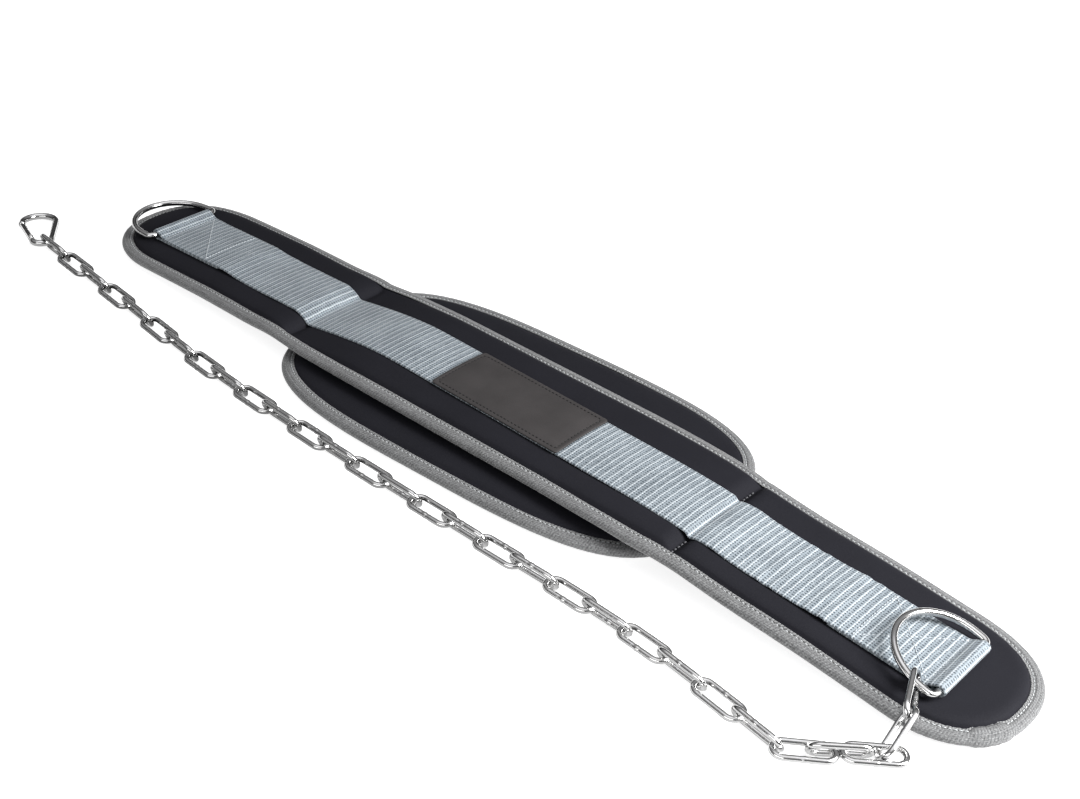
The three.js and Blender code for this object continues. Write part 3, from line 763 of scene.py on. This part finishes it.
def strap_support(x):
    top = belt_top(x)
    spanned = belt_top(BRIDGE["start"]) - BRIDGE["fall"] * (x - BRIDGE["start"])
    over = (x > BRIDGE["start"]) & (x < BRIDGE["drop_at"])
    return np.where(over, np.maximum(top, spanned), top)


support_places = np.arange(-bar_at, bar_at + 0.5, 0.5)
strap_base = Profile(np.column_stack([support_places, strap_support(support_places)]), soften=1.1)


# The crown fades out toward the loops, and is counted from this share of its height
LOOP_REACH = 8
CROWN_RUN = 20
CROWN_LEVEL = 0.35
# A dip's hollow, and the banks at both its sides
BANK = dict(away=1.6, steepness=2, hollow=0.12, share=0.5)


def strap_doubled(x):
    return smooth_step((np.abs(x) - fold_start) / STRAP["taper"] + 1)


def strap_middle(x, y=0.0):
    """Height of the middle of the webbing's thickness."""
    across = y / (STRAP["width"] / 2)
    height = strap_base(x) + GAP + STRAP["thickness"] / 2
    height = height + strap_doubled(x) * (STRAP["thickness"] + GAP)
    free = smooth_step((bar_at - LOOP_REACH - np.abs(x)) / CROWN_RUN)
    height = height + STRAP["crown"] * free * (CROWN_LEVEL - across**2)
    for place, swell, reach, slant in STRAP_WAVES:
        away = (x - place - slant * across) / reach
        crest = np.exp(-(away**2))
        if swell > 0:
            height = height + swell * crest
        else:
            banks = np.exp(-((np.abs(away) - BANK["away"]) ** 2) * BANK["steepness"])
            height = height - BANK["hollow"] * crest + BANK["share"] * abs(swell) * banks
    return height


def node_points(node):
    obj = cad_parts[node]
    return np.array([tuple(obj.matrix_world @ v.co) for v in obj.data.vertices]) / MM


def bar_height(side):
    """Height of a ring's straight bar, from the ring's own points."""
    ring = RINGS[side]
    points = node_points(ring["node"])
    straight = np.abs(points[:, 1] - ring["shift"]) < RING["width"] / 2 - RING["corner"] + 0.2
    on_bar = straight & (np.abs(side * points[:, 0] - bar_at) < RING["wire"] * 0.7)
    return float(points[on_bar, 2].mean())


def strap_end(side):
    """Points (x, z) of the folded layer and of the loop round a ring's bar."""
    x = np.arange(fold_start + 4, landing + 4, 0.7)
    under = np.stack([side * x, strap_base(side * x) + GAP + STRAP["thickness"] / 2], 1)
    angle = np.radians(np.arange(-90, 128, 6.0))
    loop = np.stack([side * (bar_at + np.cos(angle) * loop_radius),
                     bar_height(side) + np.sin(angle) * loop_radius], 1)
    return np.vstack([under, loop])


def strap_path():
    """Points (x, z) of the middle line from one folded end to the other."""
    run = np.arange(-landing + 1.0, landing - 0.5, 0.7)
    main = np.stack([run, strap_middle(run)], 1)
    return np.vstack([strap_end(-1), main, strap_end(1)[::-1]])


# Lanes across the webbing, in shares of its half width, and the selvedge where it thins
STRAP_LANES = np.concatenate([[-1, -0.985, -0.96], np.linspace(-0.92, 0.92, 21), [0.96, 0.985, 1]])
SELVEDGE_FROM = 0.955
SELVEDGE_THIN = 0.35


def add_strap():
    flat = strap_path()
    middle_line = np.stack([flat[:, 0], np.zeros(len(flat)), flat[:, 1]], 1)
    path, walked = resample(middle_line, 0.68)
    for _ in range(3):
        path[1:-1] = (path[:-2] + 2 * path[1:-1] + path[2:]) / 4
    ahead = along_path(path, False)
    normal = np.stack([-ahead[:, 2], np.zeros(len(ahead)), ahead[:, 0]], 1)
    turn = walked * 2 * math.pi
    wide = STRAP["width"] / 2
    half = wide + STRAP["selvedge_wave"] * np.sin(turn / STRAP["selvedge_pitch"])
    floor = STRAP["rib_floor"]
    rib = np.clip((np.cos(turn / STRAP["rib_pitch"] - math.pi / 2) - floor) / (1 - floor), 0, 1)
    upper_layer = path[:, 2] > strap_base(path[:, 0]) + (STRAP["thickness"] / 2 + 0.2)
    main = (np.abs(path[:, 0]) < landing) & (normal[:, 2] > 0.3) & upper_layer
    columns, across = [], []
    for face, order in ((1, STRAP_LANES), (-1, STRAP_LANES[::-1])):
        for lane in order:
            past = max(0.0, (abs(lane) - SELVEDGE_FROM) / (1 - SELVEDGE_FROM))
            edge = math.sqrt(max(0.0, 1 - past**2))
            out = face * STRAP["thickness"] / 2 * (SELVEDGE_THIN + (1 - SELVEDGE_THIN) * edge)
            if face > 0:
                out = out + STRAP["rib_height"] * rib * edge
            point = offset(path, normal, out)
            point[:, 1] = lane * half
            tilt = strap_middle(path[:, 0], lane * wide) - strap_middle(path[:, 0])
            point[:, 2] += np.where(main, tilt, 0)
            columns.append(point)
            across.append((1 + face * lane) * wide)
    uv = uv_grid(walked, np.append(across, 0.0))
    strap = mesh_object("webbing_strap", np.stack(columns, 1), webbing, uv=uv)
    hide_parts("strap")
    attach(strap, "belt")


STRAP_STITCH = dict(pitch=2.6, above=0.15, length=1.9, width=0.55, from_edge=2, from_bar=8.5, box=19)


def strap_seam(start, end):
    """Stitch places, directions and normals along a straight line on the webbing's top."""
    start, end = np.array(start, float), np.array(end, float)
    count = int(np.linalg.norm(end - start) / STRAP_STITCH["pitch"])
    share = (np.arange(count) + 0.5) / count
    spots = start + (end - start) * share[:, None]
    height = strap_middle(spots[:, 0], spots[:, 1]) + STRAP["thickness"] / 2 + STRAP_STITCH["above"]
    places = np.column_stack([spots, height])
    ahead = along_path(places, False)
    return places, ahead, upward(count)


def add_strap_stitches():
    """A row beside each loop, a row at the end of the folded layer, and between them a cross on the
    right and one slanting row on the left.
    """
    edge = STRAP["width"] / 2 - STRAP_STITCH["from_edge"]
    rows = []
    for side in (-1, 1):
        near_loop = side * (bar_at - STRAP_STITCH["from_bar"])
        box_end = side * (fold_start + STRAP_STITCH["box"])
        rows += [strap_seam((near_loop, -edge), (near_loop, edge)),
                 strap_seam((box_end, -edge), (box_end, edge)),
                 strap_seam((near_loop, edge), (box_end, -edge))]
        if side > 0:
            rows.append(strap_seam((near_loop, -edge), (box_end, edge)))
    sewn = stitches("webbing_stitches", rows, STRAP_STITCH, strap_thread)
    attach(sewn, "belt")


# Label
LABEL_STITCH = dict(pitch=3.0, sunk=0.12, length=2.0, width=0.55)
LABEL_CORNER = 2.2
LABEL_RINGS = (0.8, 0.6, 0.4, 0.2, 0.03)  # rings of points inside the stitching, as shares of it


def label_height(x, y):
    return strap_middle(x, y) + STRAP["thickness"] / 2 + STRAP["rib_height"] + 0.05


def label_rim():
    """Even points round the patch, about its own middle."""
    corner = LABEL_CORNER
    quarter = arc(0, 0, corner, corner, 0, 90, 6)
    rim = []
    for sx, sy, turn in ((1, 1, 0), (-1, 1, 90), (-1, -1, 180), (1, -1, 270)):
        spin = np.array(Matrix.Rotation(math.radians(turn), 3, "Z"))
        centre = (sx * (LABEL["length"] / 2 - corner), sy * (LABEL["width"] / 2 - corner), 0)
        rim.append(quarter @ spin.T + centre)
    return resample(np.vstack(rim), 1.5, closed=True)[0][:, :2]


def label_ring(rim, inset):
    half = np.array([LABEL["length"], LABEL["width"]]) / 2
    return rim * (half - inset) / half


def add_label():
    """A bare patch with rounded corners, its border pressed in along the stitching."""
    rim, top, seam = label_rim(), LABEL["thickness"], LABEL["stitch_inset"]
    section = ((0.5, 0.0), (0, 0.25), (0, top - 0.45), (0.18, top - 0.15), (0.6, top),
               (seam - 1.2, top), (seam - 0.5, top - 0.16), (seam, top - 0.24),
               (seam + 0.5, top - 0.16), (seam + 1.2, top))
    rows = [(label_ring(rim, inset), height) for inset, height in section]
    inmost = rows[-1][0]
    rows += [(inmost * share, top) for share in LABEL_RINGS]
    rows.insert(0, (rows[0][0] * 0.5, 0.0))
    columns = []
    for spots, height in rows:
        x, y = spots[:, 0] + LABEL["along"], spots[:, 1]
        columns.append(np.column_stack([x, y, label_height(x, y) + height]))
    patch = mesh_object("label_patch_leather", np.stack(columns, 0), leatherette)
    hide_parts("label_patch")
    ring = label_ring(rim, seam)
    line, _ = resample(np.column_stack([ring, np.zeros(len(ring))]), LABEL_STITCH["pitch"], closed=True)
    line[:, 0] += LABEL["along"]
    line[:, 2] = label_height(line[:, 0], line[:, 1]) + top - LABEL_STITCH["sunk"]
    row = (line, along_path(line, True), upward(len(line)))
    sewn = stitches("label_stitches", [row], LABEL_STITCH, dark_thread)
    for piece in (patch, sewn):
        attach(piece, "belt")


# Steel
def ring_points():
    width, corner, shoulder, depth = RING["width"], RING["corner"], RING["shoulder"], RING["depth"]
    half = width / 2
    parts = (arc(corner, -half + corner, corner, corner, -90, -180, 8),
             arc(corner, half - corner, corner, corner, 180, 90, 8),
             arc(shoulder, 0, depth - shoulder, half, 90, -90, 60))
    return resample(np.vstack(parts), 1.3, closed=True)[0]


def add_ring(name, side, body):
    node, tilt, shift = RINGS[side]["node"], RINGS[side]["tilt"], RINGS[side]["shift"]
    points = wire_grid(ring_points(), RING["wire"] / 2, 20, True)
    place = (side * bar_at, shift, bar_height(side))
    matrix = Matrix.Rotation(math.pi, 3, "Z") @ Matrix.Rotation(math.radians(-tilt), 3, "Y")
    grid = points @ np.array(matrix).T + place
    ring = mesh_object(name, grid, bright_steel, closed=True)
    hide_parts(node)
    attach(ring, body)


def node_frame(node):
    """A link's middle, and its long, wide and flat directions, from its own points."""
    points = node_points(node)
    centre = points.mean(0)
    _, axes = np.linalg.eigh(np.cov((points - centre).T))
    long = axes[:, 2] * np.copysign(1, axes[0, 2])
    wide = axes[:, 1] * np.copysign(1, axes[1, 1])
    return centre, long, wide, np.cross(long, wide)


# A link's butt weld: a ridge and the grooves beside it
WELD = dict(ridge=0.16, ridge_run=1.0, groove=0.1, groove_at=2.0, groove_run=0.7)


def add_links():
    """Each link is a wire bent into an oblong, with its butt weld half way along one side."""
    half = (LINK["width"] - LINK["wire"]) / 2
    reach = LINK["length"] / 2 - LINK["width"] / 2
    oblong = np.vstack([arc(reach, 0, half, half, -90, 90, 24),
                        arc(-reach, 0, half, half, 90, 270, 24)])
    path, _ = resample(oblong, 1.0, closed=True)
    from_weld = np.hypot(path[:, 0], path[:, 1] + half)
    ridge = WELD["ridge"] * np.exp(-((from_weld / WELD["ridge_run"]) ** 2))
    groove = WELD["groove"] * np.exp(-(((from_weld - WELD["groove_at"]) / WELD["groove_run"]) ** 2))
    wire = wire_grid(path, LINK["wire"] / 2 + ridge - groove, 14, True)
    for k in range(1, LINK_COUNT + 1):
        node = "link_%02d" % k
        centre, long, wide, up = node_frame(node)
        flip = -1 if k % 3 == 0 else 1
        axes = np.stack([long, wide * flip, up * flip], 1)
        grid = wire @ axes.T + centre
        link = mesh_object("chain_" + node, grid, link_steel, closed=True)
        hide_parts(node)
        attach(link, "belt")


def hook_frame(pivot_local):
    """The hook's own axes and origin: x runs to the wide end, y to the gate and z along the pin.

    The turn about the pin is the one at which the body's points best fill the hook's outline.
    """
    points = node_points("hook_pin")
    pivot = points.mean(0)
    _, axes = np.linalg.eigh(np.cov((points - pivot).T))
    up = axes[:, 2] * (1 if axes[2, 2] > 0 else -1)
    body = node_points("hook_body")
    wire, wide = HOOK["wire"] / 2, HOOK["wide"] / 2
    tries = []
    for turn in np.radians(np.arange(0, 360, 1.0)):
        x_axis = np.array([math.cos(turn), math.sin(turn), 0])
        x_axis = x_axis - up * x_axis.dot(up)
        x_axis /= np.linalg.norm(x_axis)
        y_axis = np.cross(up, x_axis)
        origin = pivot - x_axis * pivot_local[0] - y_axis * pivot_local[1]
        along, across = (body - origin) @ x_axis, (body - origin) @ y_axis
        miss = (abs(along.min() + wire) + abs(along.max() - HOOK["length"] - wire)
                + abs(across.min() + wide + wire))
        tries.append((miss, np.stack([x_axis, y_axis, up], 1), origin))
    _, axes, origin = min(tries, key=lambda each: each[0])
    return axes, origin


def tapered(radius, count, first, last):
    """The same radius along a wire, drawn in at its two ends."""
    result = np.full(count, float(radius))
    result[0] *= first
    result[-1] *= last
    return result


def add_hook():
    """A bent wire with a sprung gate: the body, the gate and the pin."""
    narrow, wide = HOOK["narrow"] / 2, HOOK["wide"] / 2
    narrow_at, wide_at = narrow, HOOK["length"] - wide
    flare = math.asin((wide - narrow) / (wide_at - narrow_at))
    degrees = math.degrees(flare)
    start = np.array([narrow_at - narrow * math.sin(flare), narrow * math.cos(flare), 0])
    ahead = np.array([math.cos(flare), math.sin(flare), 0])
    side_length = (wide_at - narrow_at) * math.cos(flare)
    pivot = start + ahead * HOOK["pivot_along"]
    axes, origin = hook_frame(pivot)

    def placed(name, grid, node, body):
        piece = mesh_object(name, grid @ axes.T + origin, bright_steel)
        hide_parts(node)
        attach(piece, body)

    body_path = np.vstack([[start + ahead * (HOOK["pivot_along"] + HOOK["tongue"])], [start],
                           arc(narrow_at, 0, narrow, narrow, 90 + degrees, 270 - degrees, 24),
                           arc(wide_at, 0, wide, wide, -90 - degrees, 90 + degrees, 40)])
    path, walked = resample(body_path, 0.9)
    from_pivot = np.linalg.norm(path - pivot, axis=1)
    tongue = (walked < 20) & (from_pivot < HOOK["shoulder"])
    radius = np.where(tongue, HOOK["tongue"] / 2, tapered(HOOK["wire"] / 2, len(path), 1, 0.75))
    radius[0] *= 0.6
    placed("snap_hook_body", wire_grid(path, radius, 20, False), "hook_body", "belt")

    gate_path = np.vstack([pivot - ahead * 2.4, start + ahead * (side_length - 3 * GAP)])
    path, _ = resample(gate_path, 0.8)
    radius = tapered(HOOK["gate_wire"] / 2, len(path), 0.7, 0.85)
    placed("snap_hook_gate", wire_grid(path, radius, 20, False), "hook_gate", "hook_gate")

    turn = np.linspace(0, 2 * math.pi, 18, endpoint=False)
    disc = np.stack([np.cos(turn), np.sin(turn), 0 * turn], 1)
    ends = ((-1.0, "pin_round"), (-0.86, "pin_radius"), (0.86, "pin_radius"), (1.0, "pin_round"))
    grid = np.stack([pivot + np.array((0, 0, share * HOOK["pin_half"])) + disc * HOOK[size]
                     for share, size in ends])
    placed("snap_hook_pin", grid, "hook_pin", "belt")


# Floor, lights and camera
FLOOR = dict(reach=6.0, height=-0.0002)


def add_stage():
    mesh = bpy.data.meshes.new("floor")
    corners = ((-1, -1), (1, -1), (1, 1), (-1, 1))
    mesh.from_pydata([(x * FLOOR["reach"], y * FLOOR["reach"], FLOOR["height"]) for x, y in corners],
                     [], [(0, 1, 2, 3)])
    n = Nodes("floor_white")
    soft = n.noise(n.place(), 1.3, 2)
    n.colour(n.mix(n.ramp(soft, 0.2, 0.8), grey(0.58), grey(0.62)))
    n.set(Roughness=0.9, Specular_IOR_Level=0.0, Emission_Color=(1, 1, 1, 1), Emission_Strength=0.8)
    mesh.materials.append(n.material)
    floor = bpy.data.objects.new("floor", mesh)
    bpy.context.scene.collection.objects.link(floor)


def add_light(name, place, target, size, power):
    data = bpy.data.lights.new(name, "AREA")
    data.shape = "RECTANGLE"
    data.size, data.size_y = size
    data.energy = power
    light = bpy.data.objects.new(name, data)
    light.location = place
    light.rotation_euler = (Vector(target) - Vector(place)).to_track_quat("-Z", "Y").to_euler()
    bpy.context.scene.collection.objects.link(light)


# Brightness of the surroundings, from the horizon up to straight above
SKY = ((0.0, 0.12), (0.12, 0.02), (0.34, 0.05), (0.52, 0.19), (0.8, 0.26), (0.9, 0.95), (1.0, 1.0))
SKY_STRENGTH = 0.92


def add_lights():
    """A bright overhead with dark walls for the steel to mirror, and a low key from the right."""
    world = bpy.data.worlds.new("studio")
    bpy.context.scene.world = world
    world.use_nodes = True
    tree = world.node_tree
    height = tree.nodes.new("ShaderNodeSeparateXYZ")
    tree.links.new(tree.nodes.new("ShaderNodeTexCoord").outputs["Generated"], height.inputs[0])
    tone = tree.nodes.new("ShaderNodeValToRGB")
    while len(tone.color_ramp.elements) < len(SKY):
        tone.color_ramp.elements.new(0.5)
    for element, (place, value) in zip(tone.color_ramp.elements, SKY):
        element.position = place
        element.color = (value, value, value * 1.02, 1)
    tree.links.new(height.outputs["Z"], tone.inputs[0])
    back = tree.nodes["Background"]
    tree.links.new(tone.outputs[0], back.inputs["Color"])
    back.inputs["Strength"].default_value = SKY_STRENGTH
    add_light("key", (0.9, 0.25, 0.65), (0.25, 0, 0), (0.45, 0.7), 25)
    add_light("front", (0.3, -1.3, 0.55), (0, 0, 0), (1.6, 0.5), 6)
    bpy.context.scene.view_settings.view_transform = "Standard"


# The photograph's view: angles in degrees, the point looked at and the distance in millimetres
VIEW = dict(azimuth=39.221, elevation=34.106, roll=4.579, aim=(-7.27, 41.12), distance=1085.34,
            lens=53.942, sensor=36)


def add_camera():
    az, el, roll = (math.radians(VIEW[key]) for key in ("azimuth", "elevation", "roll"))
    back = Vector((math.sin(az) * math.cos(el), -math.cos(az) * math.cos(el), math.sin(el)))
    right = Vector((0, 0, 1)).cross(back).normalized()
    rolled = Matrix.Rotation(roll, 3, back)
    axes = Matrix((rolled @ right, rolled @ back.cross(right), back)).transposed()
    data = bpy.data.cameras.new("camera")
    data.lens = VIEW["lens"]
    data.sensor_width = VIEW["sensor"]
    data.clip_start = 0.01
    camera = bpy.data.objects.new("camera", data)
    place = Vector((*VIEW["aim"], 0)) + back * VIEW["distance"]
    camera.matrix_world = Matrix.Translation(place * MM) @ axes.to_4x4()
    bpy.context.scene.collection.objects.link(camera)
    bpy.context.scene.camera = camera


add_pads()
add_crease_stitches()
add_strap()
add_strap_stitches()
add_label()
add_ring("d_ring_left", -1, "ring_left")
add_ring("d_ring_right", 1, "belt")
add_links()
add_hook()
add_stage()
add_lights()
add_camera()
